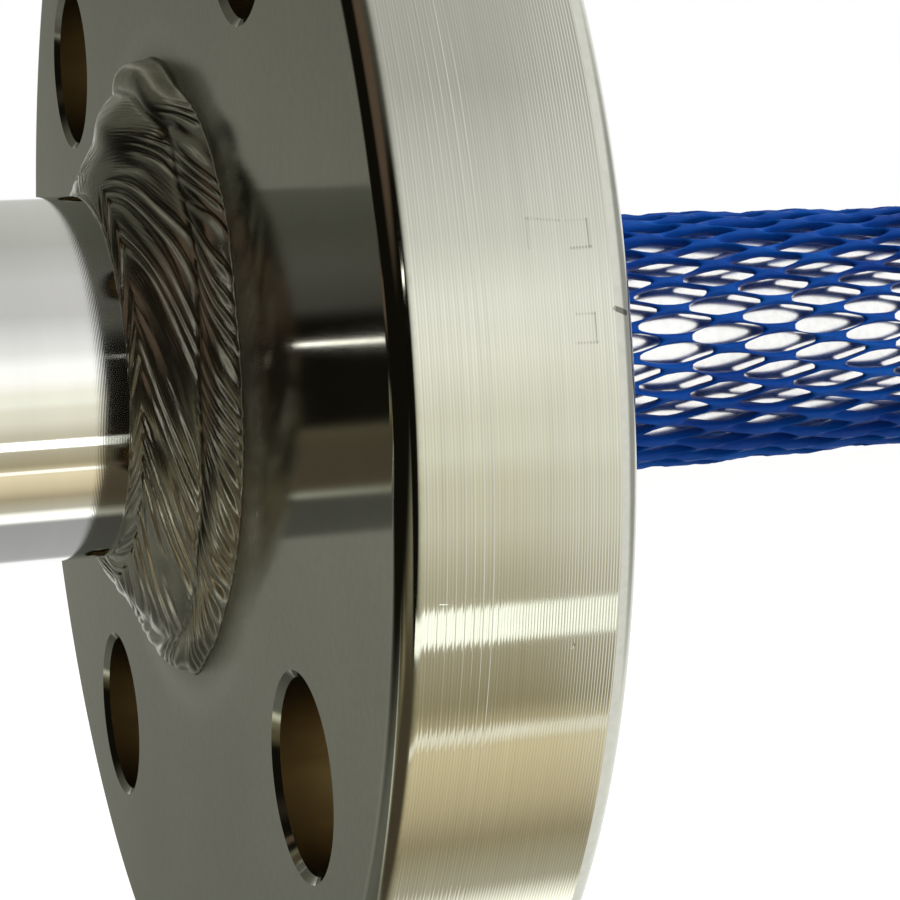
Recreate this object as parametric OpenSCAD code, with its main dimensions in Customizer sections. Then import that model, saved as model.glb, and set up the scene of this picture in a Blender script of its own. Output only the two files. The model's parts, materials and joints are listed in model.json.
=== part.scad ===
// Flanged thermowell: a turned well welded into a DN25 PN40 plate flange, with a
// plastic net sleeve pulled over the shank to guard it.
// Frame: +X runs along the well towards its tip, +Z is up, and the origin is the centre
// of the raised gasket face, from which the insertion length is measured.

/* [Flange] */
// Outside diameter of the flange
flange_d = 115; // [108:1:150]
// Thickness of the flange at its rim
flange_t = 16; // [12:0.5:24]
// Radius on both edges of the rim
rim_round = 1.5; // [0.5:0.25:3]
// Diameter of the raised gasket face
face_d = 68; // [56:1:69]
// Height of the raised gasket face
face_h = 2; // [1:0.5:3]

/* [Bolt holes] */
// Number of bolt holes
hole_count = 4; // [4:4:8]
// Diameter of the circle through the bolt holes
hole_circle_d = 85; // [85:0.5:92]
// Diameter of each bolt hole
hole_d = 14; // [10:0.5:14]
// Deburring chamfer at both ends of each bolt hole
hole_chamfer = 0.5; // [0.2:0.1:0.7]

/* [Well outside] */
// Diameter of the stub behind the flange
stub_d = 29; // [27:0.5:34]
// Length of the stub behind the flange
stub_l = 60; // [35:1:120]
// Chamfer on the outer end of the stub
stub_chamfer = 1.5; // [0.5:0.25:2]
// Diameter of the spigot that passes through the flange
spigot_d = 25; // [23.5:0.25:26]
// Diameter of the shank at its root
shank_root_d = 20; // [17:0.25:21]
// Diameter of the shank at its tip
shank_tip_d = 14; // [12:0.25:16]
// Insertion length, from the gasket face to the tip
insertion_l = 150; // [80:1:250]
// Radius between the shank and the end of the spigot
root_radius = 1.8; // [0.5:0.1:2]
// Radius round the edge of the tip
tip_radius = 2; // [0.5:0.25:3]

/* [Socket and sensor bore] */
// Core diameter of the threaded socket, G 1/2
socket_d = 18.63; // [14.95:0.01:19]
// Depth of the threaded socket
socket_l = 19; // [12:0.5:25]
// Lead-in chamfer at the mouth of the socket
socket_chamfer = 1.2; // [0.5:0.1:1.5]
// Diameter of the sensor bore
bore_d = 7; // [4:0.1:8]
// Thickness of metal left between the sensor bore and the tip
tip_t = 6; // [4:0.5:10]
// Point angle of the drills
drill_angle = 118; // [90:1:140]

/* [Welds] */
// Leg of the back weld on the flange
back_leg_flange = 9.3; // [6:0.1:10]
// Leg of the back weld along the stub
back_leg_stub = 6.5; // [5:0.1:14]
// Number of beads in the back weld
bead_count = 2; // [1:1:4]
// How much the beads widen from the flange up to the stub; 1 makes them equal
bead_spread = 1.2; // [1:0.05:1.5]
// Height of each bead above the slope of the weld
bead_h = 0.9; // [0.2:0.1:1.5]
// Number of ripples round each bead
ripple_count = 40; // [20:2:60]
// Depth of the ripples
ripple_h = 0.14; // [0:0.02:0.3]
// Waviness of the line where the weld ends on the flange
toe_wave = 0.4; // [0:0.1:1]
// Leg of the front weld, finished flush with the gasket face
front_leg = 3; // [1.5:0.25:4]

/* [Net sleeve] */
// Distance from the gasket face to the sleeve
net_start = 3; // [2:0.5:10]
// Distance from the sleeve to the end of the tip
net_end = 1.5; // [1:0.5:10]
// Clearance between the shank and the sleeve
net_gap = 0.3; // [0.2:0.05:0.6]
// Thickness of the sleeve's wall at the middle of a strand
net_t = 1.5; // [0.8:0.1:2]
// How far the middle of a strand stands above its edges
strand_crest = 0.4; // [0.1:0.05:0.5]
// Width of a strand
strand_w = 1.7; // [1:0.1:2.4]
// Solid length at each end of the sleeve, where the strands run together
net_rim = 3; // [2:0.2:5]
// Openings in one turn
net_around = 10; // [8:1:12]
// Rows of openings along the sleeve
net_rows = 12; // [6:2:12]
// Slow twist of the net along its whole length, in degrees
net_twist = 24; // [-60:1:60]

/* [Fits] */
// Radial clearance of the spigot in the flange
spigot_gap = 0.1; // [0.05:0.05:0.3]

/* [Hidden] */
$fn = 96;
over = 1;
steel = [0.66, 0.65, 0.6];
weld_grey = [0.5, 0.49, 0.46];
net_blue = [0.03, 0.2, 0.55];
back_x = -(flange_t + face_h);
rim_x = -face_h;
stub_x = back_x - stub_l;
bore_r = spigot_d / 2 + spigot_gap;
stub_r = stub_d / 2;
taper = (shank_root_d - shank_tip_d) / 2 / insertion_l;
weld_steps = 160;
bead_steps = 8;
crown_points = bead_count * bead_steps + 1;
ring_points = crown_points + 1;
// Below 1 a bead's back is broader than a half wave
bead_roundness = 0.7;
// The flats of the weld's inner wall clear the round stub
weld_inner_r = stub_r / cos(180 / weld_steps);
net_lines = net_rows + 1;
net_l = insertion_l - net_start - net_end - 2 * net_rim;
half_cell_l = net_l / net_lines;
half_cell_w = PI * (shank_root_d / 2 + net_gap) / net_around;
side_reach = half_cell_w * half_cell_l / norm([half_cell_w, half_cell_l]);
shrink = 1 - strand_w / 2 / side_reach;

// Radius of the tapered shank at a distance from the gasket face
function shank_r(x) = shank_root_d / 2 - taper * x;

// A point at a radius and an angle round the well's axis; 0 degrees is +Y, 90 is +Z
function at(x, r, angle) = [x, r * cos(angle), r * sin(angle)];

// Turns a profile, drawn as [radius, distance along the well], round the well's axis
module turned() {
    rotate([0, 90, 0]) rotate_extrude() children();
}

// Flat plate flange with a raised face and a bevel for the front weld
module flange() {
    color(steel) difference() {
        turned() flange_profile();
        for (i = [0:hole_count - 1])
            rotate([(i + 0.5) * 360 / hole_count, 0, 0])
                translate([0, 0, hole_circle_d / 2]) bolt_hole();
    }
}

module flange_profile() {
    rim_r = flange_d / 2;
    round_r = rim_r - rim_round;
    polygon([
        [bore_r, back_x],
        [round_r, back_x],
        [round_r, back_x + rim_round],
        [rim_r, back_x + rim_round],
        [rim_r, rim_x - rim_round],
        [round_r, rim_x - rim_round],
        [round_r, rim_x],
        [face_d / 2, rim_x],
        [face_d / 2, 0],
        [bore_r + front_leg, 0],
        [bore_r, -front_leg]
    ]);
    translate([round_r, back_x + rim_round]) mirror([0, 1]) quarter_disc(rim_round);
    translate([round_r, rim_x - rim_round]) quarter_disc(rim_round);
}

// A quarter of a disc, which rounds the edge of a turned piece
module quarter_disc(r) {
    intersection() {
        circle(r = r);
        square(r);
    }
}

// Drill through the flange, opened by the deburring chamfer at both faces
module bolt_hole() {
    flare_r = hole_d / 2 + hole_chamfer + over;
    depth = hole_chamfer + over;
    translate([back_x - over, 0, 0])
        rotate([0, 90, 0]) cylinder(h = flange_t + 2 * over, d = hole_d);
    translate([back_x - over, 0, 0])
        rotate([0, 90, 0]) cylinder(h = depth, r1 = flare_r, r2 = hole_d / 2);
    translate([rim_x - hole_chamfer, 0, 0])
        rotate([0, 90, 0]) cylinder(h = depth, r1 = hole_d / 2, r2 = flare_r);
}

// The well, turned from one bar: stub, spigot through the flange, tapered shank
module well_body() {
    color(steel) turned() difference() {
        well_outline();
        well_hollow();
    }
}

module well_outline() {
    polygon([
        [0, stub_x],
        [stub_r - stub_chamfer, stub_x],
        [stub_r, stub_x + stub_chamfer],
        [stub_r, back_x],
        [spigot_d / 2, back_x],
        [spigot_d / 2, 0],
        [shank_r(0), 0],
        [shank_r(insertion_l - tip_radius), insertion_l - tip_radius],
        [0, insertion_l - tip_radius]
    ]);
    tip_edge();
    root_fillet();
}

// Rounded edge of the tip, tangent to its flat end
module tip_edge() {
    flat_r = shank_r(insertion_l - tip_radius) - tip_radius;
    translate([0, insertion_l - tip_radius]) square([flat_r, tip_radius]);
    translate([flat_r, insertion_l - tip_radius]) quarter_disc(tip_radius);
}

// Hollow radius where the shank leaves the spigot
module root_fillet() {
    difference() {
        translate([shank_r(root_radius) - over, 0]) square([root_radius + over, root_radius]);
        translate([shank_r(root_radius) + root_radius, root_radius]) circle(r = root_radius);
    }
}

// Threaded socket and blind sensor bore, each ending in its drill's cone
module well_hollow() {
    socket_r = socket_d / 2;
    hole_r = bore_d / 2;
    socket_end = stub_x + socket_l;
    bore_end = insertion_l - tip_t;
    polygon([
        [0, stub_x - over],
        [socket_r + socket_chamfer + over, stub_x - over],
        [socket_r, stub_x + socket_chamfer],
        [socket_r, socket_end],
        [hole_r, socket_end + (socket_r - hole_r) / tan(drill_angle / 2)],
        [hole_r, bore_end - hole_r / tan(drill_angle / 2)],
        [0, bore_end]
    ]);
}

// Weld metal that fills the flange's bevel, flush with the gasket face
module front_weld() {
    color(weld_grey) turned() polygon([
        [spigot_d / 2, 0],
        [bore_r + front_leg, 0],
        [bore_r, -front_leg],
        [spigot_d / 2, -front_leg]
    ]);
}

// Share of the bead's height; a bead ends, and its share is 0, at each whole number
function crown(beads) = pow(abs(sin(180 * beads)), bead_roundness);

// Ripples lean over from one bead to the next, and die out where a bead ends
function ripple(beads, angle) =
    ripple_h * crown(beads) * sin(ripple_count * angle + 180 * beads);

// Radius where the weld ends on the flange: two waves of unlike length, laid by hand
function toe_r(angle) =
    stub_r + back_leg_flange + toe_wave * (0.6 * sin(3 * angle + 40) + 0.4 * sin(7 * angle));

// A point of the weld's surface; beads counts from the flange (0) up to the stub
function weld_point(beads, angle) =
    let (
        t = pow(beads / bead_count, bead_spread),
        run = toe_r(angle) - weld_inner_r,
        slope_l = norm([run, back_leg_stub]),
        proud = bead_h * crown(beads) + ripple(beads, angle),
        r = toe_r(angle) - run * t + proud * back_leg_stub / slope_l,
        x = back_x - back_leg_stub * t - proud * run / slope_l
    )
    at(x, r, angle);

// Back weld: a ring of beads laid side by side up the slope from the flange to the stub
module back_weld() {
    points = [
        for (i = [0:weld_steps - 1])
            let (angle = 360 * i / weld_steps)
                for (k = [0:ring_points - 1])
                    k < crown_points
                        ? weld_point(k / bead_steps, angle)
                        : at(back_x, weld_inner_r, angle)
    ];
    faces = [
        for (i = [0:weld_steps - 1], k = [0:ring_points - 1])
            let (
                a = i * ring_points + k,
                b = i * ring_points + (k + 1) % ring_points,
                c = ((i + 1) % weld_steps) * ring_points + (k + 1) % ring_points,
                d = ((i + 1) % weld_steps) * ring_points + k
            )
                each [[a, b, c], [a, c, d]]
    ];
    color(weld_grey) polyhedron(points, faces);
}

// Crossings at both ends stand out by the rim, so that the end strands keep their width
function net_x(line) = net_start + net_rim + line * half_cell_l
    + (line <= 1 ? -net_rim : line >= net_lines - 1 ? net_rim : 0);

// A point of the net; the line and the turn may be fractions, the layer is 0 inside
function net_point(x, turn, layer) =
    at(
        x,
        shank_r(x) + net_gap + layer,
        (turn + 0.5) * 360 / net_around + net_twist * x / insertion_l
    );

// Turn, in openings, of a crossing on one line of crossings
function shift(line) = line % 2 / 2;

// Corners of an opening, as [turns, lines] from its middle, anticlockwise from below
opening = [[0, -1], [0.25, -0.5], [0.5, 0], [0.25, 0.5], [0, 1], [-0.25, 0.5], [-0.5, 0], [-0.25, -0.5]];

// Numbers of the net's points: crossings, middles of strands, then edges of openings
strand_base = (net_lines + 1) * net_around;
edge_base = strand_base + 2 * net_lines * net_around;
layer_points = edge_base + 8 * net_rows * net_around;

function crossing(line, i) = line * net_around + (i + net_around) % net_around;

// Middle of the strand that rises from a crossing, to the right (side 0) or left (side 1)
function strand(line, i, side) =
    strand_base + (line * net_around + (i + net_around) % net_around) * 2 + side;

function edge(line, i, k) = edge_base + ((line - 1) * net_around + i) * 8 + k % 8;

// The crossing below and above an opening
function apex(line, i) = line % 2 == 0 ? i : i + 1;

// The eight points round an opening, along the middles of its strands
function rim(line, i) =
    let (mid = apex(line, i))
    [
        crossing(line - 1, mid),
        strand(line - 1, mid, 0),
        crossing(line, i + 1),
        strand(line, i + 1, 1),
        crossing(line + 1, mid),
        strand(line, i, 0),
        crossing(line, i),
        strand(line - 1, mid, 1)
    ];

// All the points of one layer; the strands' middles stand proud of their edges by a crest
function net_layer(layer, crest) = [
    for (line = [0:net_lines], i = [0:net_around - 1])
        net_point(net_x(line), i + shift(line), layer + crest),
    for (line = [0:net_lines - 1], i = [0:net_around - 1], side = [0:1])
        net_point(
            (net_x(line) + net_x(line + 1)) / 2,
            i + shift(line) + (side == 0 ? 0.25 : -0.25),
            layer + crest
        ),
    for (line = [1:net_rows], i = [0:net_around - 1], corner = opening)
        net_point(
            net_start + net_rim + (line + corner[1] * shrink) * half_cell_l,
            i + shift(line) + 0.5 + corner[0] * shrink,
            layer
        )
];

// A four-sided patch as two triangles, turned over where its layer faces inwards
function patch(a, b, c, d, inward) =
    inward ? [[a, c, b], [a, d, c]] : [[a, b, c], [a, c, d]];

// Net sleeve: strands in two crossing directions, moulded in one with diamond openings
module net_sleeve() {
    points = concat(net_layer(0, 0), net_layer(net_t - strand_crest, strand_crest));
    outer = layer_points;
    openings = [
        for (line = [1:net_rows], i = [0:net_around - 1])
            let (loop = rim(line, i))
                for (k = [0:7])
                    let (
                        a = loop[k],
                        b = loop[(k + 1) % 8],
                        c = edge(line, i, k + 1),
                        d = edge(line, i, k)
                    )
                        each concat(
                            patch(a + outer, b + outer, c + outer, d + outer, true),
                            patch(a, b, c, d, false),
                            patch(d + outer, c + outer, c, d, true)
                        )
    ];
    ends = [
        for (i = [0:net_around - 1], side = [0:1])
            let (
                low = [
                    crossing(0, i),
                    strand(0, i, side),
                    crossing(1, side == 0 ? i : i - 1)
                ],
                last = net_lines - 1,
                odd = last % 2,
                high = [
                    crossing(last, i),
                    strand(last, i, side),
                    crossing(net_lines, side == 0 ? i + odd : i + odd - 1)
                ]
            )
                for (k = [0:1])
                    each concat(
                        patch(low[k], low[k + 1], low[k + 1] + outer, low[k] + outer, side == 0),
                        patch(high[k], high[k + 1], high[k + 1] + outer, high[k] + outer, side == 1)
                    )
    ];
    color(net_blue) polyhedron(points, concat(openings, ends));
}

flange();
well_body();
back_weld();
front_weld();
net_sleeve();
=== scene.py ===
import json
import math

import bmesh
import bpy
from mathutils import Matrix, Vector, noise


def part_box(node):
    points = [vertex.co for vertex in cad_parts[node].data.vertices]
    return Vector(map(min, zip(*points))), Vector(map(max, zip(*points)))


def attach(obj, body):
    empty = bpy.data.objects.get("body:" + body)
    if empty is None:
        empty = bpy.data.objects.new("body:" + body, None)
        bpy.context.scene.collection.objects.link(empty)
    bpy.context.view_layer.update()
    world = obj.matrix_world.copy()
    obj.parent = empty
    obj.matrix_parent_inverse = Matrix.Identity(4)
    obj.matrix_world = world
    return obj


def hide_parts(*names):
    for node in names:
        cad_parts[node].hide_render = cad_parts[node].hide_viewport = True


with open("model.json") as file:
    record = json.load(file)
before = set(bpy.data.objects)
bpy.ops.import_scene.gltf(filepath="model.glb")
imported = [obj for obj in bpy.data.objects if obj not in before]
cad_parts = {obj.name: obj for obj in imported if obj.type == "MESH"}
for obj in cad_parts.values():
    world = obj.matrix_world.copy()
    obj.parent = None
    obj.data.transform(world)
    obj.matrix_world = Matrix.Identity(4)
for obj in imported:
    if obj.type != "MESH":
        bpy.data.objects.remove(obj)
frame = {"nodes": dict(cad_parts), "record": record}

bpy.context.preferences.edit.use_global_undo = False
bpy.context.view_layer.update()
mounts = {mount["name"]: mount for mount in frame["record"]["mounts"]}

# ---- Flange ------------------------------------------------------------------------
# A disc of stainless bar, turned all over: fine feed marks on the rim between its two
# rounded edges, a satin back face, a serrated gasket face, and four deburred bolt holes.
flange_low, flange_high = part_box("flange")
back_x, face_x = flange_low.x, flange_high.x
rim_r = flange_high.z
rim_x = mounts["flange_bolts"]["pos_m"][0]
bolt_circle_r = mounts["flange_bolts"]["dims"]["pcd_mm"] / 2000
bolt_count = mounts["flange_bolts"]["dims"]["count"]
bolt_r = mounts["flange_bolts"]["dims"]["hole_r_mm"] / 1000
rim_round = 0.0015
hole_chamfer = 0.0005
face_r = 0.034
spigot_r = 0.0125
spigot_gap = 0.0001
front_leg = 0.003
edge_round = 0.00018
rim_arc_steps = 12
flange_steps = 320
drill_steps = 96


def lathe(name, profile, steps):
    """Turns a closed outline of (place along the well, radius) round the well's axis."""
    x, r = profile[0]
    bpy.ops.object.select_all(action="DESELECT")
    bpy.ops.mesh.primitive_plane_add(size=0.001, location=(x, 0, r))
    bpy.ops.object.transform_apply(location=True, rotation=True, scale=True)
    piece = bpy.context.object
    piece.name = piece.data.name = name
    bpy.ops.object.mode_set(mode="EDIT")
    bpy.ops.mesh.select_all(action="SELECT")
    bpy.ops.mesh.merge(type="CENTER")
    for (x0, r0), (x1, r1) in zip(profile, profile[1:] + profile[:1]):
        bpy.ops.mesh.extrude_region_move(TRANSFORM_OT_translate={"value": (x1 - x0, 0, r1 - r0)})
    bpy.ops.mesh.select_all(action="SELECT")
    bpy.ops.mesh.spin(steps=steps, angle=2 * math.pi, center=(0, 0, 0), axis=(1, 0, 0))
    bpy.ops.mesh.select_all(action="SELECT")
    bpy.ops.mesh.remove_doubles(threshold=1e-7)
    bpy.ops.mesh.normals_make_consistent(inside=False)
    bpy.ops.object.mode_set(mode="OBJECT")
    return piece


def arc(centre_x, centre_r, radius, start, end, count):
    """Points of an arc in the outline; 0 degrees points along the well, 90 outwards."""
    angles = [math.radians(start + (end - start) * i / count) for i in range(count + 1)]
    return [(centre_x + radius * math.cos(a), centre_r + radius * math.sin(a)) for a in angles]


def apply_modifiers(piece):
    bpy.ops.object.select_all(action="DESELECT")
    bpy.context.view_layer.objects.active = piece
    piece.select_set(True)
    for modifier in list(piece.modifiers):
        bpy.ops.object.modifier_apply(modifier=modifier.name)


def smooth(piece, angle):
    bpy.ops.object.select_all(action="DESELECT")
    bpy.context.view_layer.objects.active = piece
    piece.select_set(True)
    bpy.ops.object.shade_smooth_by_angle(angle=math.radians(angle))


def flatten_normals(piece):
    """Keeps flat faces flat to the eye, however narrow the rounded edge beside them."""
    flatten = piece.modifiers.new("flat", "WEIGHTED_NORMAL")
    flatten.weight = 100
    flatten.keep_sharp = True
    apply_modifiers(piece)


def round_edges(piece, width):
    """Breaks the sharp edges of a turned piece, as a file or emery cloth does."""
    bevel = piece.modifiers.new("edges", "BEVEL")
    bevel.width = width
    bevel.segments = 2
    bevel.limit_method = "ANGLE"
    bevel.angle_limit = math.radians(25)
    apply_modifiers(piece)


bore_r = spigot_r + spigot_gap
flange = lathe("flange_turned", [
    (back_x, bore_r),
    *arc(back_x + rim_round, rim_r - rim_round, rim_round, 180, 90, rim_arc_steps),
    *arc(rim_x - rim_round, rim_r - rim_round, rim_round, 90, 0, rim_arc_steps),
    (rim_x, face_r),
    (face_x, face_r),
    (face_x, bore_r + front_leg),
    (-front_leg, bore_r),
], flange_steps)
round_edges(flange, edge_round)

# The drill's path: a hole with a countersink at each end
over = 0.001
flare_r = bolt_r + hole_chamfer + over
drill = lathe("drill", [
    (back_x - over, 0),
    (back_x - over, flare_r),
    (back_x + hole_chamfer, bolt_r),
    (rim_x - hole_chamfer, bolt_r),
    (rim_x + over, flare_r),
    (rim_x + over, 0),
], drill_steps)
for i in range(bolt_count):
    hole_turn = (i + 0.5) * 2 * math.pi / bolt_count
    hole = drill.copy()
    hole.data = drill.data.copy()
    bpy.context.collection.objects.link(hole)
    hole.location = (0, bolt_circle_r * math.sin(hole_turn), bolt_circle_r * math.cos(hole_turn))
    cut = flange.modifiers.new("hole", "BOOLEAN")
    cut.operation = "DIFFERENCE"
    cut.solver = "EXACT"
    cut.object = hole
    apply_modifiers(flange)
    bpy.data.objects.remove(hole)
bpy.data.objects.remove(drill)
smooth(flange, 30)
flatten_normals(flange)


def new_material(name):
    """A metal or plastic with its node tree, its shader and its Object coordinates."""
    material = bpy.data.materials.new(name)
    material.use_nodes = True
    nodes = material.node_tree.nodes
    shader = nodes["Principled BSDF"]
    place = nodes.new("ShaderNodeTexCoord").outputs["Object"]
    return material, shader, place


def math_node(material, operation, *values):
    """One step of arithmetic; a value may be a number or another node's output."""
    node = material.node_tree.nodes.new("ShaderNodeMath")
    node.operation = operation
    for socket, value in zip(node.inputs, values):
        if isinstance(value, (int, float)):
            socket.default_value = value
        else:
            material.node_tree.links.new(value, socket)
    return node.outputs["Value"]


def noise_node(material, place, scale, detail, stretch=(1, 1, 1)):
    """Fractal noise, stretched along the axes where a finish has a direction."""
    nodes, links = material.node_tree.nodes, material.node_tree.links
    mapping = nodes.new("ShaderNodeMapping")
    mapping.inputs["Scale"].default_value = stretch
    links.new(place, mapping.inputs["Vector"])
    grain = nodes.new("ShaderNodeTexNoise")
    grain.inputs["Scale"].default_value = scale
    grain.inputs["Detail"].default_value = detail
    links.new(mapping.outputs["Vector"], grain.inputs["Vector"])
    return grain.outputs["Fac"]


def ramp_node(material, value, *stops):
    """Colours along a value from 0 to 1."""
    node = material.node_tree.nodes.new("ShaderNodeValToRGB")
    ramp = node.color_ramp
    ramp.elements[0].position, ramp.elements[0].color = stops[0][0], (*stops[0][1], 1)
    ramp.elements[1].position, ramp.elements[1].color = stops[-1][0], (*stops[-1][1], 1)
    for position, colour in stops[1:-1]:
        ramp.elements.new(position).color = (*colour, 1)
    material.node_tree.links.new(value, node.inputs["Fac"])
    return node.outputs["Color"]


def bump_node(material, shader, height, depth):
    """Surface relief, of a height from 0 to 1 times a depth in metres."""
    node = material.node_tree.nodes.new("ShaderNodeBump")
    node.inputs["Distance"].default_value = depth
    material.node_tree.links.new(height, node.inputs["Height"])
    material.node_tree.links.new(node.outputs["Normal"], shader.inputs["Normal"])


def radius_node(material, place):
    """The place along the well, and the distance from its axis."""
    split = material.node_tree.nodes.new("ShaderNodeSeparateXYZ")
    material.node_tree.links.new(place, split.inputs["Vector"])
    x, y, z = split.outputs
    squares = math_node(material, "ADD", math_node(material, "MULTIPLY", y, y),
                        math_node(material, "MULTIPLY", z, z))
    return x, math_node(material, "SQRT", squares)


def grooves(material, along, pitch, wander):
    """Feed marks of a turning tool: a wave of the given pitch with an uneven depth."""
    turns = math_node(material, "MULTIPLY", along, 2 * math.pi / pitch)
    phase = math_node(material, "ADD", turns, math_node(material, "MULTIPLY", wander, 3.0))
    wave = math_node(material, "SINE", phase)
    return math_node(material, "MULTIPLY_ADD", wave, 0.5, 0.5)


steel_colour = (0.60, 0.605, 0.53)


def shade(colour, level):
    """A colour made darker or lighter by a level, where 1 leaves it as it is."""
    return tuple(level * c for c in colour)


def scratch_node(material, across, up, start, end, width):
    """1 along a straight mark between two places on the rim, falling to 0 at its width."""
    length = math.dist(start, end)
    c, s = (end[0] - start[0]) / length, (end[1] - start[1]) / length
    right = math_node(material, "SUBTRACT", across, (start[0] + end[0]) / 2)
    rise = math_node(material, "SUBTRACT", up, (start[1] + end[1]) / 2)
    along = math_node(material, "MULTIPLY_ADD", right, c, math_node(material, "MULTIPLY", rise, s))
    aside = math_node(material, "MULTIPLY_ADD", rise, c, math_node(material, "MULTIPLY", right, -s))
    past = math_node(material, "SUBTRACT", math_node(material, "ABSOLUTE", along), length / 2)
    past = math_node(material, "MAXIMUM", past, 0)
    squares = math_node(material, "MULTIPLY_ADD", past, past,
                        math_node(material, "MULTIPLY", aside, aside))
    away = math_node(material, "DIVIDE", math_node(material, "SQRT", squares), width)
    return math_node(material, "MAXIMUM", math_node(material, "SUBTRACT", 1, away), 0)


# Marks of handling on the rim's near side, in metres: where each starts and ends (along
# the well, up), how far it spreads, and its strength, which is below 0 for a bright one.
# The strength sets each mark's bump, and also its painted shade, or a painted highlight below 0.
mark_depth = 3.5
# Painted shade darkens each mark's colour by this much per unit of strength; a strength below 0 paints
# a highlight instead
painted_mark_shade = 0.75
rim_marks = [
    ((-0.00350, -0.00030), (-0.00280, -0.00058), 0.00022, 2.0),
    ((-0.00652, -0.02092), (-0.00640, -0.02086), 0.00018, 0.6),
    ((-0.01540, -0.01740), (-0.01490, -0.01745), 0.00006, -0.2),
    ((-0.00880, 0.00549), (-0.00670, 0.00527), 0.00016, 0.35),
    ((-0.00880, 0.00549), (-0.00885, 0.00365), 0.00014, 0.25),
    ((-0.00630, 0.00525), (-0.00490, 0.00527), 0.00014, 0.2),
    ((-0.00490, 0.00527), (-0.00482, 0.00359), 0.00016, 0.6),
    ((-0.00482, 0.00359), (-0.00610, 0.00355), 0.00016, 0.55),
    ((-0.00610, -0.00050), (-0.00490, -0.00052), 0.00014, 0.35),
    ((-0.00490, -0.00052), (-0.00482, -0.00229), 0.00016, 0.45),
    ((-0.00482, -0.00229), (-0.00620, -0.00227), 0.00014, 0.4),
]


def marks_with_painted_shade(material, place, x, height, tone):
    """Adds the nick, the dent, the scratch and the faint pressed corners to a finish as bumps, with
    painted shade in them and a painted highlight on the bright scratch.
    """
    split = material.node_tree.nodes.new("ShaderNodeSeparateXYZ")
    material.node_tree.links.new(place, split.inputs["Vector"])
    near = math_node(material, "LESS_THAN", split.outputs["Y"], 0)
    for start, end, width, strength in rim_marks:
        mark = scratch_node(material, x, split.outputs["Z"], start, end, width)
        mark = math_node(material, "MULTIPLY", mark, near)
        height = math_node(material, "MULTIPLY_ADD", mark, -mark_depth * strength, height)
        # Painted shade in the mark's colour, or a painted highlight where its strength is below 0
        tone = math_node(material, "MULTIPLY_ADD", mark, -painted_mark_shade * strength, tone)
    return height, tone


def turned_rim():
    """The rim's finish: fine feed marks, with coarser ones on the part turned first."""
    fine_pitch, coarse_pitch, coarse_width = 0.0002, 0.0003, 0.0066
    material, shader, place = new_material("steel_turned_rim")
    x, r = radius_node(material, place)
    wander = noise_node(material, place, 2500, 2, (1, 0.02, 0.02))
    fine = grooves(material, x, fine_pitch, wander)
    coarse = grooves(material, x, coarse_pitch, wander)
    first = math_node(material, "LESS_THAN", x, back_x + coarse_width)
    coarse = math_node(material, "MULTIPLY", coarse, first)
    mixed = math_node(material, "MULTIPLY_ADD", coarse, 1.5, fine)
    height = math_node(material, "MULTIPLY_ADD", wander, 0.9, mixed)
    tone = math_node(material, "MULTIPLY_ADD", fine, 0.5,
                     math_node(material, "MULTIPLY", wander, 0.5))
    height, tone = marks_with_painted_shade(material, place, x, height, tone)
    bump_node(material, shader, height, 0.0000016)
    colour = ramp_node(
        material, tone,
        (0.0, shade(steel_colour, 0.55)), (0.2, shade(steel_colour, 0.90)),
        (0.8, shade(steel_colour, 1.06)), (1.0, shade(steel_colour, 1.4)))
    material.node_tree.links.new(colour, shader.inputs["Base Color"])
    shader.inputs["Metallic"].default_value = 1
    shader.inputs["Roughness"].default_value = 0.06
    return material


def faced_steel(name, pitch, depth, roughness, brightness=1.0, steel=steel_colour,
                marked=False, brushed_to=None):
    """A face turned on the lathe, with rings round the axis, and dulled by a wire brush
    out to a radius where one is given."""
    brushed_roughness, brushed_fade = 0.42, 0.007
    material, shader, place = new_material(name)
    x, r = radius_node(material, place)
    wander = noise_node(material, place, 1400, 4)
    rings = grooves(material, r, pitch, wander)
    height = math_node(material, "MULTIPLY_ADD", wander, 1.4, rings)
    patches = noise_node(material, place, 60, 5)
    tone = math_node(material, "MULTIPLY_ADD", wander, 0.5,
                     math_node(material, "MULTIPLY", patches, 0.5))
    if marked:
        height, tone = marks_with_painted_shade(material, place, x, height, tone)
    if brushed_to:
        nodes, links = material.node_tree.nodes, material.node_tree.links
        brushed = nodes.new("ShaderNodeMapRange")
        brushed.interpolation_type = "SMOOTHSTEP"
        brushed.inputs["From Min"].default_value = brushed_to - brushed_fade
        brushed.inputs["From Max"].default_value = brushed_to
        brushed.inputs["To Min"].default_value = brushed_roughness
        brushed.inputs["To Max"].default_value = roughness
        links.new(r, brushed.inputs["Value"])
        links.new(brushed.outputs["Result"], shader.inputs["Roughness"])
    bump_node(material, shader, height, depth)
    colour = ramp_node(
        material, tone,
        (0.0, shade(steel, 0.3 * brightness)), (0.3, shade(steel, 0.88 * brightness)),
        (0.7, shade(steel, 1.05 * brightness)))
    material.node_tree.links.new(colour, shader.inputs["Base Color"])
    shader.inputs["Metallic"].default_value = 1
    shader.inputs["Roughness"].default_value = roughness
    return material


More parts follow.
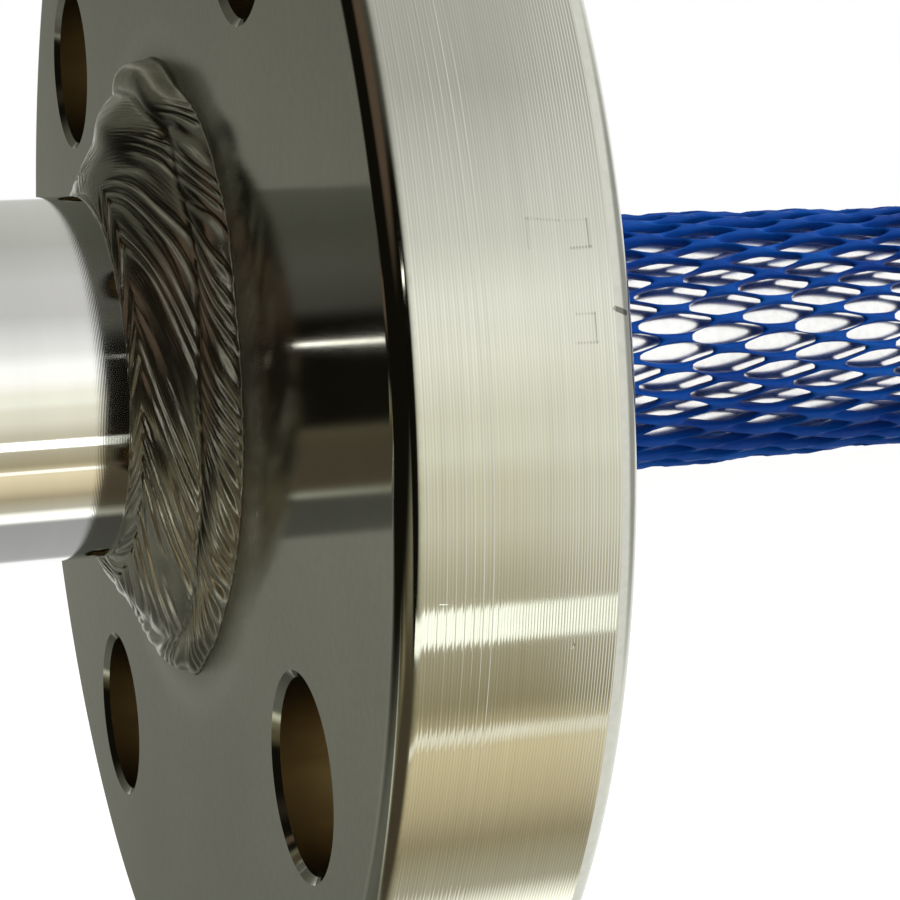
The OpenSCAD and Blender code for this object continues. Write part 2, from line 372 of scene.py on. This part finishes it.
rim_steel = turned_rim()
back_steel = faced_steel("steel_satin_face", 0.00024, 0.0000005, 0.085, brushed_to=0.030)
gasket_steel = faced_steel("steel_serrated_face", 0.0008, 0.00006, 0.2)
edge_steel = faced_steel("steel_rounded_edge", 0.0004, 0.0000002, 0.08, marked=True)
drilled_steel = faced_steel("steel_drilled", 0.0005, 0.000001, 0.22, 0.85, (0.56, 0.48, 0.32))
for material in (rim_steel, back_steel, gasket_steel, edge_steel, drilled_steel):
    flange.data.materials.append(material)
rim_slot, back_slot, gasket_slot, edge_slot, drilled_slot = range(5)
near_flat = 1e-5
for face in flange.data.polygons:
    middle, out = face.center, face.normal
    r = math.hypot(middle.y, middle.z)
    if r > rim_r - edge_round and abs(out.x) < 0.01:
        face.material_index = rim_slot
    elif out.x < -0.99 and middle.x < back_x + near_flat:
        face.material_index = back_slot
    elif out.x > 0.99 and middle.x > face_x - near_flat:
        face.material_index = gasket_slot
    elif abs(out.x) < 0.05 and r < rim_r - rim_round:
        face.material_index = drilled_slot
    elif out.x > 0.99:
        face.material_index = back_slot
    else:
        face.material_index = edge_slot
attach(flange, "root")
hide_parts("flange")

# ---- Well ----------------------------------------------------------------------------
# The well itself, turned in one piece from bar and polished: the stub with its threaded
# socket, the spigot through the flange, and the tapered shank with its blind bore.
well_low, well_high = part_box("well_body")
stub_x, tip_x = well_low.x, well_high.x
stub_r = well_high.z
stub_chamfer = 0.0015
root_r, tip_r = 0.010, 0.007
root_fillet = 0.0018
tip_fillet = 0.002
socket_r = mounts["instrument_socket"]["dims"]["r_mm"] / 1000
socket_chamfer = 0.0012
socket_end = stub_x + 0.019
thread_pitch = 0.001814
thread_depth = 0.00116
thread_rows = 9
bore_hole_r = mounts["sensor_bore"]["dims"]["r_mm"] / 1000
bore_end = tip_x - 0.006
drill_half_angle = math.radians(59)
fillet_steps = 8
well_steps = 160


def shank_r(x):
    return root_r + (tip_r - root_r) * x / tip_x


thread_start = stub_x + socket_chamfer
thread_count = round((socket_end - thread_start) / thread_pitch * thread_rows)
thread_wall = [
    (socket_end + (thread_start - socket_end) * i / thread_count, socket_r)
    for i in range(thread_count + 1)
]
well = lathe("well_turned", [
    (stub_x, socket_r + socket_chamfer),
    (stub_x, stub_r - stub_chamfer),
    (stub_x + stub_chamfer, stub_r),
    (back_x, stub_r),
    (back_x, spigot_r),
    (face_x, spigot_r),
    *arc(root_fillet, shank_r(root_fillet) + root_fillet, root_fillet, 180, 270, fillet_steps),
    *arc(tip_x - tip_fillet, shank_r(tip_x - tip_fillet) - tip_fillet, tip_fillet, 90, 0,
         fillet_steps),
    (tip_x, 0),
    (bore_end, 0),
    (bore_end - bore_hole_r / math.tan(drill_half_angle), bore_hole_r),
    (socket_end + (socket_r - bore_hole_r) / math.tan(drill_half_angle), bore_hole_r),
    *thread_wall,
], well_steps)

# The tap's thread: the socket's wall moves out along a helix and runs out at both ends
for vertex in well.data.vertices:
    x, y, z = vertex.co
    r = math.hypot(y, z)
    if abs(r - socket_r) < 1e-6 and thread_start - 1e-6 < x < socket_end + 1e-6:
        round_axis = math.atan2(z, y) / (2 * math.pi)
        along = (x - thread_start) / thread_pitch - round_axis
        tooth = min(1, max(0, 1.6 * abs(2 * (along % 1) - 1) - 0.3))
        fade = min(1, (x - thread_start) / thread_pitch, (socket_end - x) / thread_pitch)
        cut = 1 + thread_depth * tooth * max(0, fade) / r
        vertex.co = (x, y * cut, z * cut)
smooth(well, 35)


def polished_steel():
    """The stub's finish: turned, then polished along its rings."""
    material, shader, place = new_material("steel_polished")
    x, r = radius_node(material, place)
    wander = noise_node(material, place, 500, 4, (1, 0.1, 0.1))
    lines = grooves(material, x, 0.00012, wander)
    height = math_node(material, "MULTIPLY_ADD", wander, 0.6, lines)
    bump_node(material, shader, height, 0.0000002)
    colour = ramp_node(material, wander, (0.3, (0.92, 0.93, 0.92)), (0.7, (0.96, 0.97, 0.96)))
    material.node_tree.links.new(colour, shader.inputs["Base Color"])
    shader.inputs["Metallic"].default_value = 1
    shader.inputs["Roughness"].default_value = 0.05
    return material


well_steel = polished_steel()
bore_steel = faced_steel("steel_bored", 0.0003, 0.000002, 0.28, 0.8)
shank_steel = faced_steel("steel_satin_shank", 0.0004, 0.0000004, 0.2, steel=(0.97, 0.97, 0.96))
for material in (well_steel, bore_steel, shank_steel):
    well.data.materials.append(material)
polished_slot, bored_slot, shank_slot = range(3)
drill_point_l = 0.006
for face in well.data.polygons:
    x, r = face.center.x, math.hypot(face.center.y, face.center.z)
    in_socket = (r < socket_r + thread_depth * 1.05
                 and stub_x + near_flat < x < socket_end + drill_point_l)
    in_bore = r < bore_hole_r and x < bore_end + near_flat
    if in_socket or in_bore:
        face.material_index = bored_slot
    elif x > 0:
        face.material_index = shank_slot
    else:
        face.material_index = polished_slot
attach(well, "root")
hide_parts("well_body")

# ---- Back weld -------------------------------------------------------------------------
# Weld metal laid by hand in two beads, one against the flange and one up to the stub.
# Each bead froze in ripples that trail back along the ring, with a lump at the start.
leg_along = 0.0065
toe_mean_r = stub_r + 0.0093
weld_steps = 1200
crease_row, ridge_row, top_row = 16, 37, 44
ridge_at = 0.85
bead_height = 0.0009
ripple_depth = 0.00025
outer_ripples, inner_ripples = 38, 20
lump_height = 0.0010
lump_at = 76
pit_depth = 0.0005
pit_at = 54
rough_height = 0.00003


def step(low, high, value):
    """0 below the low value, 1 above the high one, and a smooth rise between them."""
    share = min(1, max(0, (value - low) / (high - low)))
    return share * share * (3 - 2 * share)


def between(stations, around):
    """A size given at a few places round the ring, in degrees, and eased between them."""
    for (a, size_a), (b, size_b) in zip(stations, stations[1:]):
        if around <= b:
            return size_a + (size_b - size_a) * step(a, b, around)


# Where the crease between the beads runs on the slope, and how far out the toe wanders,
# in millimetres, at places round the ring in degrees up from the near side
crease_stations = [
    (-180, 0.33), (-110, 0.34), (-88, 0.31), (-76, 0.24), (-59, 0.28), (-42, 0.35),
    (-8, 0.37), (24, 0.30), (37, 0.32), (53, 0.26), (90, 0.30), (180, 0.33)]
toe_stations = [
    (-180, 0.0), (-120, 0.3), (-88, 0.9), (-72, -0.3), (-56, -1.0), (-12, -1.0), (7, -0.8),
    (27, 0.5), (45, 0.6), (64, 0.1), (76, 1.0), (88, 1.6), (115, 0.5), (180, 0.0)]


def row_turn(row):
    """How far each row of the mesh is turned, so that its columns follow the ripples."""
    toe_turn, ridge_turn, top_turn = 18, -40, 15
    if row <= crease_row:
        return math.radians(toe_turn * (1 - row / crease_row))
    if row <= ridge_row:
        return math.radians(ridge_turn * (row - crease_row) / (ridge_row - crease_row))
    return math.radians(ridge_turn + top_turn * (row - ridge_row) / (top_row - ridge_row))


def row_place(row, crease):
    """Where a row of the mesh lies on the slope, from 0 at the flange to 1 at the stub."""
    if row <= crease_row:
        return crease * row / crease_row
    if row <= ridge_row:
        return crease + (ridge_at - crease) * (row - crease_row) / (ridge_row - crease_row)
    return ridge_at + (1 - ridge_at) * (row - ridge_row) / (top_row - ridge_row)


def weld_height(t, crease, column, angle, around):
    """Height of the weld's surface above its slope, in metres."""
    outer = t <= crease
    u = t / crease if outer else (t - crease) / (1 - crease)
    crown = math.sin(math.pi * min(1, max(0, u))) ** (1.4 if outer and u < 0.5 else 0.6)
    lump = 1 - step(0.45, 1.0, math.hypot((around - lump_at) / 25, (t - 0.34) / 0.42))
    pit = 1 - step(0.4, 1.0, math.hypot((around - pit_at) / 1.4, (t - 0.28) / 0.06))
    size = 1.0
    if not outer:
        size = 1 - 0.5 * (1 - step(-91, -80, around)) - 0.3 * step(70, 100, around)
    drift = noise.noise(Vector((4 * math.cos(column), 4 * math.sin(column), 1.6 * t + 9 * outer)))
    phase = (outer_ripples if outer else inner_ripples) * column + math.pi * 1.3 * drift
    ripple = abs(math.cos(phase)) ** 4
    strength = 0.95 + 0.5 * noise.noise(Vector((5 * math.cos(angle), 5 * math.sin(angle), 3 * t + 31)))
    strength *= step(-110, -84, around) * (1 - step(50, 62, around)) + 0.4 * step(70, 100, abs(around))
    rough = noise.noise(Vector((60 * math.cos(angle), 60 * math.sin(angle), 16 * t)))
    height = bead_height * crown * size + lump_height * lump - pit_depth * pit
    height += rough_height * rough
    return height - ripple_depth * ripple * max(0, strength) * min(1, 2.5 * crown) * (1 - lump)


weld_profile = [(back_x - leg_along * k / top_row, toe_mean_r - (toe_mean_r - stub_r) * k / top_row)
                for k in range(top_row + 1)]
weld_profile.append((back_x, stub_r))
back_weld = lathe("weld_beads", weld_profile, weld_steps)
for vertex in back_weld.data.vertices:
    x, y, z = vertex.co
    column = math.atan2(z, y)
    row = round((back_x - x) / leg_along * top_row)
    corner = row == 0 and math.hypot(y, z) < stub_r + 1e-6
    angle = column + row_turn(top_row if corner else row)
    new_x, new_r = back_x, stub_r
    if not corner:
        around = (180 - math.degrees(angle) + 180) % 360 - 180
        crease = between(crease_stations, around)
        t = row_place(row, crease)
        run = toe_mean_r + between(toe_stations, around) / 1000 - stub_r
        slope = math.hypot(run, leg_along)
        height = weld_height(t, crease, column, angle, around)
        new_r = stub_r + run * (1 - t) + height * leg_along / slope
        new_x = min(back_x, back_x - leg_along * t - height * run / slope)
    vertex.co = (new_x, new_r * math.cos(angle), new_r * math.sin(angle))
smooth(back_weld, 180)


def weld_metal():
    """Weld metal after the wire brush: a fine grain over broad pale and dull patches."""
    material, shader, place = new_material("weld_metal_brushed")
    grain = noise_node(material, place, 3500, 3)
    patches = noise_node(material, place, 260, 4)
    bump_node(material, shader, grain, 0.000006)
    tone = math_node(material, "MULTIPLY_ADD", grain, 0.35,
                     math_node(material, "MULTIPLY", patches, 0.65))
    colour = ramp_node(
        material, tone,
        (0.3, (0.46, 0.44, 0.37)), (0.55, (0.60, 0.585, 0.50)), (0.75, (0.70, 0.69, 0.60)))
    material.node_tree.links.new(colour, shader.inputs["Base Color"])
    shader.inputs["Metallic"].default_value = 1
    shader.inputs["Roughness"].default_value = 0.26
    return material


back_weld.data.materials.append(weld_metal())
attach(back_weld, "root")
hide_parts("back_weld")

# ---- Front weld ------------------------------------------------------------------------
# The ring of weld metal in the flange's front bevel, machined flush with the gasket
# face, so that only a slightly duller ring shows.
front_weld = frame["nodes"]["front_weld"]
front_weld.data.materials[0] = faced_steel("weld_metal_machined", 0.0003, 0.000004, 0.3, 0.85)

# ---- Net sleeve ------------------------------------------------------------------------
# A tube of extruded blue polyethylene netting, pulled over the shank to guard it: two
# sets of strands on opposite helices, melted together where they cross.
net_low, net_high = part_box("net_sleeve")
net_around = 27
net_cells = 15
net_gap = 0.0003
net_wall = 0.0015
strand = 0.00115
strand_swell = 1.2
strand_cuts = 2
net_twist = math.radians(-30)
net_l = net_high.x - net_low.x
bpy.ops.object.select_all(action="DESELECT")
bpy.ops.mesh.primitive_cylinder_add(
    vertices=net_around, radius=shank_r(0), depth=net_l, end_fill_type="NOTHING",
    location=((net_low.x + net_high.x) / 2, 0, 0), rotation=(0, math.pi / 2, 0))
bpy.ops.object.transform_apply(location=True, rotation=True, scale=True)
net = bpy.context.object
net.name = net.data.name = "net_strands"


def select_edges(piece, wanted):
    """In edit mode, selects the edges whose two ends pass a test."""
    bpy.ops.mesh.select_mode(type="EDGE")
    bpy.ops.mesh.select_all(action="DESELECT")
    bpy.ops.object.mode_set(mode="OBJECT")
    for edge in piece.data.edges:
        a, b = (piece.data.vertices[i].co for i in edge.vertices)
        edge.select = wanted(a, b)
    bpy.ops.object.mode_set(mode="EDIT")


def lengthwise(a, b):
    return abs(a.x - b.x) > 1e-6 and math.hypot(a.y - b.y, a.z - b.z) < 1e-6


def around(a, b):
    return abs(a.x - b.x) < 1e-6


def at_end(a, b):
    """An edge of either open end of the tube."""
    return around(a, b) and min(abs(a.x - net_low.x), abs(a.x - net_high.x)) < 1e-6


bpy.ops.object.mode_set(mode="EDIT")
select_edges(net, lengthwise)
bpy.ops.mesh.subdivide(number_cuts=net_cells - 1)
bpy.ops.mesh.select_all(action="SELECT")
bpy.ops.mesh.poke()
select_edges(net, lambda a, b: (lengthwise(a, b) or around(a, b)) and not at_end(a, b))
bpy.ops.mesh.dissolve_edges(use_verts=False)
select_edges(net, at_end)
bpy.ops.mesh.delete(type="EDGE")
mesh = bmesh.from_edit_mesh(net.data)
bmesh.ops.bisect_edges(mesh, edges=mesh.edges, cuts=strand_cuts)
bmesh.update_edit_mesh(net.data)
bpy.ops.object.mode_set(mode="OBJECT")
middle_gap = net_gap + net_wall - 0.5 * strand * strand_swell
for vertex in net.data.vertices:
    x, y, z = vertex.co
    angle = math.atan2(z, y) + net_twist * x / tip_x
    r = shank_r(x) + middle_gap
    vertex.co = (x, r * math.cos(angle), r * math.sin(angle))
wire = net.modifiers.new("strands", "WIREFRAME")
wire.thickness = strand
wire.use_even_offset = True
wire.use_boundary = True
round_off = net.modifiers.new("round", "SUBSURF")
round_off.levels = round_off.render_levels = 1
apply_modifiers(net)
for vertex in net.data.vertices:
    x, y, z = vertex.co
    r = math.hypot(y, z)
    middle_r = shank_r(x) + middle_gap
    stretch = (middle_r + (r - middle_r) * strand_swell) / r
    vertex.co = (min(max(x, net_low.x), net_high.x), y * stretch, z * stretch)
smooth(net, 180)


def net_plastic():
    """Dull blue polyethylene, streaked along the way that it was drawn out."""
    material, shader, place = new_material("polyethylene_blue")
    streaks = noise_node(material, place, 300, 3, (0.3, 1, 1))
    bump_node(material, shader, noise_node(material, place, 1200, 3), 0.00003)
    colour = ramp_node(material, streaks, (0.3, (0.0, 0.046, 0.32)), (0.7, (0.0, 0.10, 0.50)))
    material.node_tree.links.new(colour, shader.inputs["Base Color"])
    shader.inputs["Roughness"].default_value = 0.45
    shader.inputs["Specular IOR Level"].default_value = 0.15
    return material


net.data.materials.append(net_plastic())
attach(net, "root")
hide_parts("net_sleeve")

# ---- Floor -----------------------------------------------------------------------------
# A plain pale floor under the flange. It takes the object's soft shadow, and the
# polished steel sees the studio's own pale ground instead of it.
floor_size = 6.0
bpy.ops.object.select_all(action="DESELECT")
bpy.ops.mesh.primitive_plane_add(size=floor_size, location=(0, 0, flange_low.z))
bpy.ops.object.transform_apply(location=True)
floor = bpy.context.object
floor.name = "floor"
floor.visible_glossy = floor.visible_diffuse = floor.visible_shadow = False
floor_paint = bpy.data.materials.new("floor_paint")
floor_paint.use_nodes = True
nodes, links = floor_paint.node_tree.nodes, floor_paint.node_tree.links
paint = nodes["Principled BSDF"]
paint.inputs["Base Color"].default_value = (0.8, 0.8, 0.8, 1)
paint.inputs["Roughness"].default_value = 1
paint.inputs["Specular IOR Level"].default_value = 0
paint.inputs["Emission Color"].default_value = (1, 1, 1, 1)
paint.inputs["Emission Strength"].default_value = 0.63
floor.data.materials.append(floor_paint)

# ---- Studio ----------------------------------------------------------------------------
# A pale room, bright on the side of the well's tip and grey behind the flange, dim
# where the camera stands, with a warm ground and strip lights along the well in front.
world = bpy.data.worlds.new("studio")
bpy.context.scene.world = world
world.use_nodes = True
nodes, links = world.node_tree.nodes, world.node_tree.links
background = nodes["Background"]
direction = nodes.new("ShaderNodeTexCoord").outputs["Generated"]
split = nodes.new("ShaderNodeSeparateXYZ")
links.new(direction, split.inputs["Vector"])
ray_x, ray_y, ray_z = split.outputs


def zero_to_one(value):
    return math_node(world, "MULTIPLY_ADD", value, 0.5, 0.5)


def mix_node(kind, factor, a, b):
    node = world.node_tree.nodes.new("ShaderNodeMix")
    node.data_type = "RGBA"
    node.blend_type = kind
    for name, value in (("Factor", factor), ("A", a), ("B", b)):
        socket = node.inputs[name]
        if isinstance(value, (int, float)):
            socket.default_value = value
        elif isinstance(value, tuple):
            socket.default_value = (*value, 1)
        else:
            world.node_tree.links.new(value, socket)
    return node.outputs["Result"]


def patch_node(towards, inner, outer, squash=1.0):
    """1 within the inner angle of a direction, 0 beyond the outer one."""
    aim = Vector((towards[0], towards[1], towards[2] * squash)).normalized()
    flat = math_node(world, "MULTIPLY", ray_z, squash)
    joined = world.node_tree.nodes.new("ShaderNodeCombineXYZ")
    for socket, value in zip(joined.inputs, (ray_x, ray_y, flat)):
        world.node_tree.links.new(value, socket)
    unit = world.node_tree.nodes.new("ShaderNodeVectorMath")
    unit.operation = "NORMALIZE"
    world.node_tree.links.new(joined.outputs["Vector"], unit.inputs[0])
    dot = world.node_tree.nodes.new("ShaderNodeVectorMath")
    dot.operation = "DOT_PRODUCT"
    world.node_tree.links.new(unit.outputs["Vector"], dot.inputs[0])
    dot.inputs[1].default_value = aim
    limits = world.node_tree.nodes.new("ShaderNodeMapRange")
    limits.interpolation_type = "SMOOTHSTEP"
    limits.inputs["From Min"].default_value = math.cos(math.radians(outer))
    limits.inputs["From Max"].default_value = math.cos(math.radians(inner))
    world.node_tree.links.new(dot.outputs["Value"], limits.inputs["Value"])
    return limits.outputs["Result"]


def grey(level, warmth=1.0):
    return (level, level, level * warmth)


ray_angle = math_node(world, "ARCTAN2", ray_z, math_node(world, "MULTIPLY", ray_y, -1.0))
ray_turn = math_node(world, "MULTIPLY_ADD", ray_angle, 0.5 / math.pi, 0.5)


def at_turn(degrees):
    """Place on a ramp of a direction's turn round the well's axis, 0 at the near side."""
    return degrees / 360 + 0.5


# How bright the room is from the stub's end of it to the tip's end
sides = ramp_node(
    world, zero_to_one(ray_x),
    (0.0, grey(0.50, 0.86)), (0.20, grey(0.40, 0.86)),
    (0.33, grey(0.235, 0.86)), (0.40, grey(0.20, 0.86)),
    (0.47, grey(0.46, 0.9)), (0.56, grey(0.95, 0.97)),
    (0.68, grey(1.16, 0.98)), (1.0, grey(1.15)))

# How its colour changes round the well's axis, from far side to far side by way of the ground
heights = ramp_node(
    world, ray_turn,
    (0.0, (1.0, 1.0, 1.0)), (at_turn(-165), (0.80, 0.80, 0.80)),
    (at_turn(-150), (0.40, 0.40, 0.40)), (at_turn(-102), (0.34, 0.34, 0.34)),
    (at_turn(-97), (1.90, 1.90, 1.80)), (at_turn(-90), (0.50, 0.47, 0.38)),
    (at_turn(-80), (0.38, 0.32, 0.21)), (at_turn(-73), (0.62, 0.53, 0.35)),
    (at_turn(-63), (0.82, 0.71, 0.48)), (at_turn(-56), (0.36, 0.31, 0.20)),
    (at_turn(-47), (0.46, 0.41, 0.30)), (at_turn(-36), (0.58, 0.54, 0.42)),
    (at_turn(-28), (0.76, 0.73, 0.61)), (at_turn(-21), (0.80, 0.77, 0.64)),
    (at_turn(-17), (0.92, 0.91, 0.80)), (at_turn(-11), (0.92, 0.90, 0.79)),
    (at_turn(-3), (1.08, 1.06, 1.02)), (at_turn(5), (1.08, 1.07, 1.06)),
    (at_turn(14), (0.84, 0.83, 0.82)), (at_turn(24), (0.72, 0.72, 0.72)),
    (at_turn(37), (0.56, 0.55, 0.55)), (at_turn(60), (0.57, 0.56, 0.56)),
    (at_turn(90), (0.45, 0.45, 0.42)), (at_turn(150), (0.55, 0.55, 0.52)),
    (1.0, (1.0, 1.0, 1.0)))
room = mix_node("MULTIPLY", 1.0, sides, heights)

# Dark and brown things in the room: the unlit side behind the stub, where the camera
# stands, the ground in front of it, and a shelf above
for towards, inner, outer, squash, colour in [
    ((-0.9925, -0.1219, 0.06), 56, 80, 3.0, (0.007, 0.006, 0.004)),
    ((-0.337, -0.92, -0.195), 12, 18, 0.37, (0.006, 0.005, 0.003)),
    ((-0.47, -0.27, -0.84), 14, 28, 1.0, (0.08, 0.064, 0.042)),
    ((-0.72, -0.45, 0.53), 8, 28, 1.0, (0.12, 0.085, 0.06)),
]:
    room = mix_node("MIX", patch_node(towards, inner, outer, squash), room, colour)


def strip(low, high, from_x, to_x):
    """1 between two turns round the well's axis, and between two places across the room."""
    above = math_node(world, "GREATER_THAN", ray_turn, at_turn(low))
    below = math_node(world, "LESS_THAN", ray_turn, at_turn(high))
    left = math_node(world, "GREATER_THAN", ray_x, from_x)
    right = math_node(world, "LESS_THAN", ray_x, to_x)
    return math_node(world, "MULTIPLY", math_node(world, "MULTIPLY", above, below),
                     math_node(world, "MULTIPLY", left, right))


# The strip lights: their turns round the well, how far across the room, and their colour
for low, high, from_x, to_x, colour in [
    (-45.6, -40.0, -0.20, 0.393, (1.75, 1.8, 1.65)),
    (-61.9, -59.6, -0.05, 0.393, (1.2, 1.15, 1.0)),
    (8.0, 10.2, -0.42, -0.24, (3.0, 2.9, 2.7)),
]:
    room = mix_node("MIX", strip(low, high, from_x, to_x), room, colour)

# The end of the room beyond the tip is plain white, with a grey doorway in its middle
end_wall = nodes.new("ShaderNodeMapRange")
end_wall.inputs["From Min"].default_value = 0.402
end_wall.inputs["From Max"].default_value = 0.420
links.new(ray_x, end_wall.inputs["Value"])
end_colour = ramp_node(
    world, ray_x,
    (0.0, (1.08, 1.08, 1.07)), (0.86, (1.05, 1.05, 1.04)), (0.96, grey(0.45)))
room = mix_node("MIX", end_wall.outputs["Result"], room, end_colour)

# Behind the object the room is plain white, to the eye and to the steel's mirror image
rays = nodes.new("ShaderNodeLightPath")
backdrop = patch_node((0.337, 0.942, 0.0), 20, 26)
mirrored = math_node(world, "ADD", rays.outputs["Is Glossy Ray"], rays.outputs["Is Transmission Ray"])
seen = math_node(world, "MULTIPLY_ADD", mirrored, backdrop, rays.outputs["Is Camera Ray"])
links.new(mix_node("MIX", math_node(world, "MINIMUM", seen, 1.0), room, (1.0, 1.0, 1.0)),
          background.inputs["Color"])
background.inputs["Strength"].default_value = 1.0

# One large soft lamp, high on the right, shapes the plastic and lays the shadow
lamp_data = bpy.data.lights.new("soft_lamp", "AREA")
lamp_data.shape = "RECTANGLE"
lamp_data.size, lamp_data.size_y = 1.2, 0.8
lamp_data.energy = 14
lamp = bpy.data.objects.new("soft_lamp", lamp_data)
bpy.context.collection.objects.link(lamp)
lamp.visible_glossy = False
lamp.location = (1.1, -0.9, 1.3)
lamp_aim = Vector((0.03, 0, 0))
lamp.rotation_euler = (lamp_aim - lamp.location).to_track_quat("-Z", "Y").to_euler()

# ---- Camera ----------------------------------------------------------------------------
# Close in front of the rim and a little behind the flange, looking across its back face.
camera_data = bpy.data.cameras.new("camera")
camera_data.lens = 98.1
camera_data.sensor_width = 36
camera_data.clip_start = 0.005
camera = bpy.data.objects.new("camera", camera_data)
bpy.context.collection.objects.link(camera)
camera.location = (-0.06416, -0.19508, -0.00819)
camera.rotation_euler = (math.radians(90.02), math.radians(4.49), math.radians(-19.68))
bpy.context.scene.camera = camera

bpy.context.scene.view_settings.view_transform = "Standard"
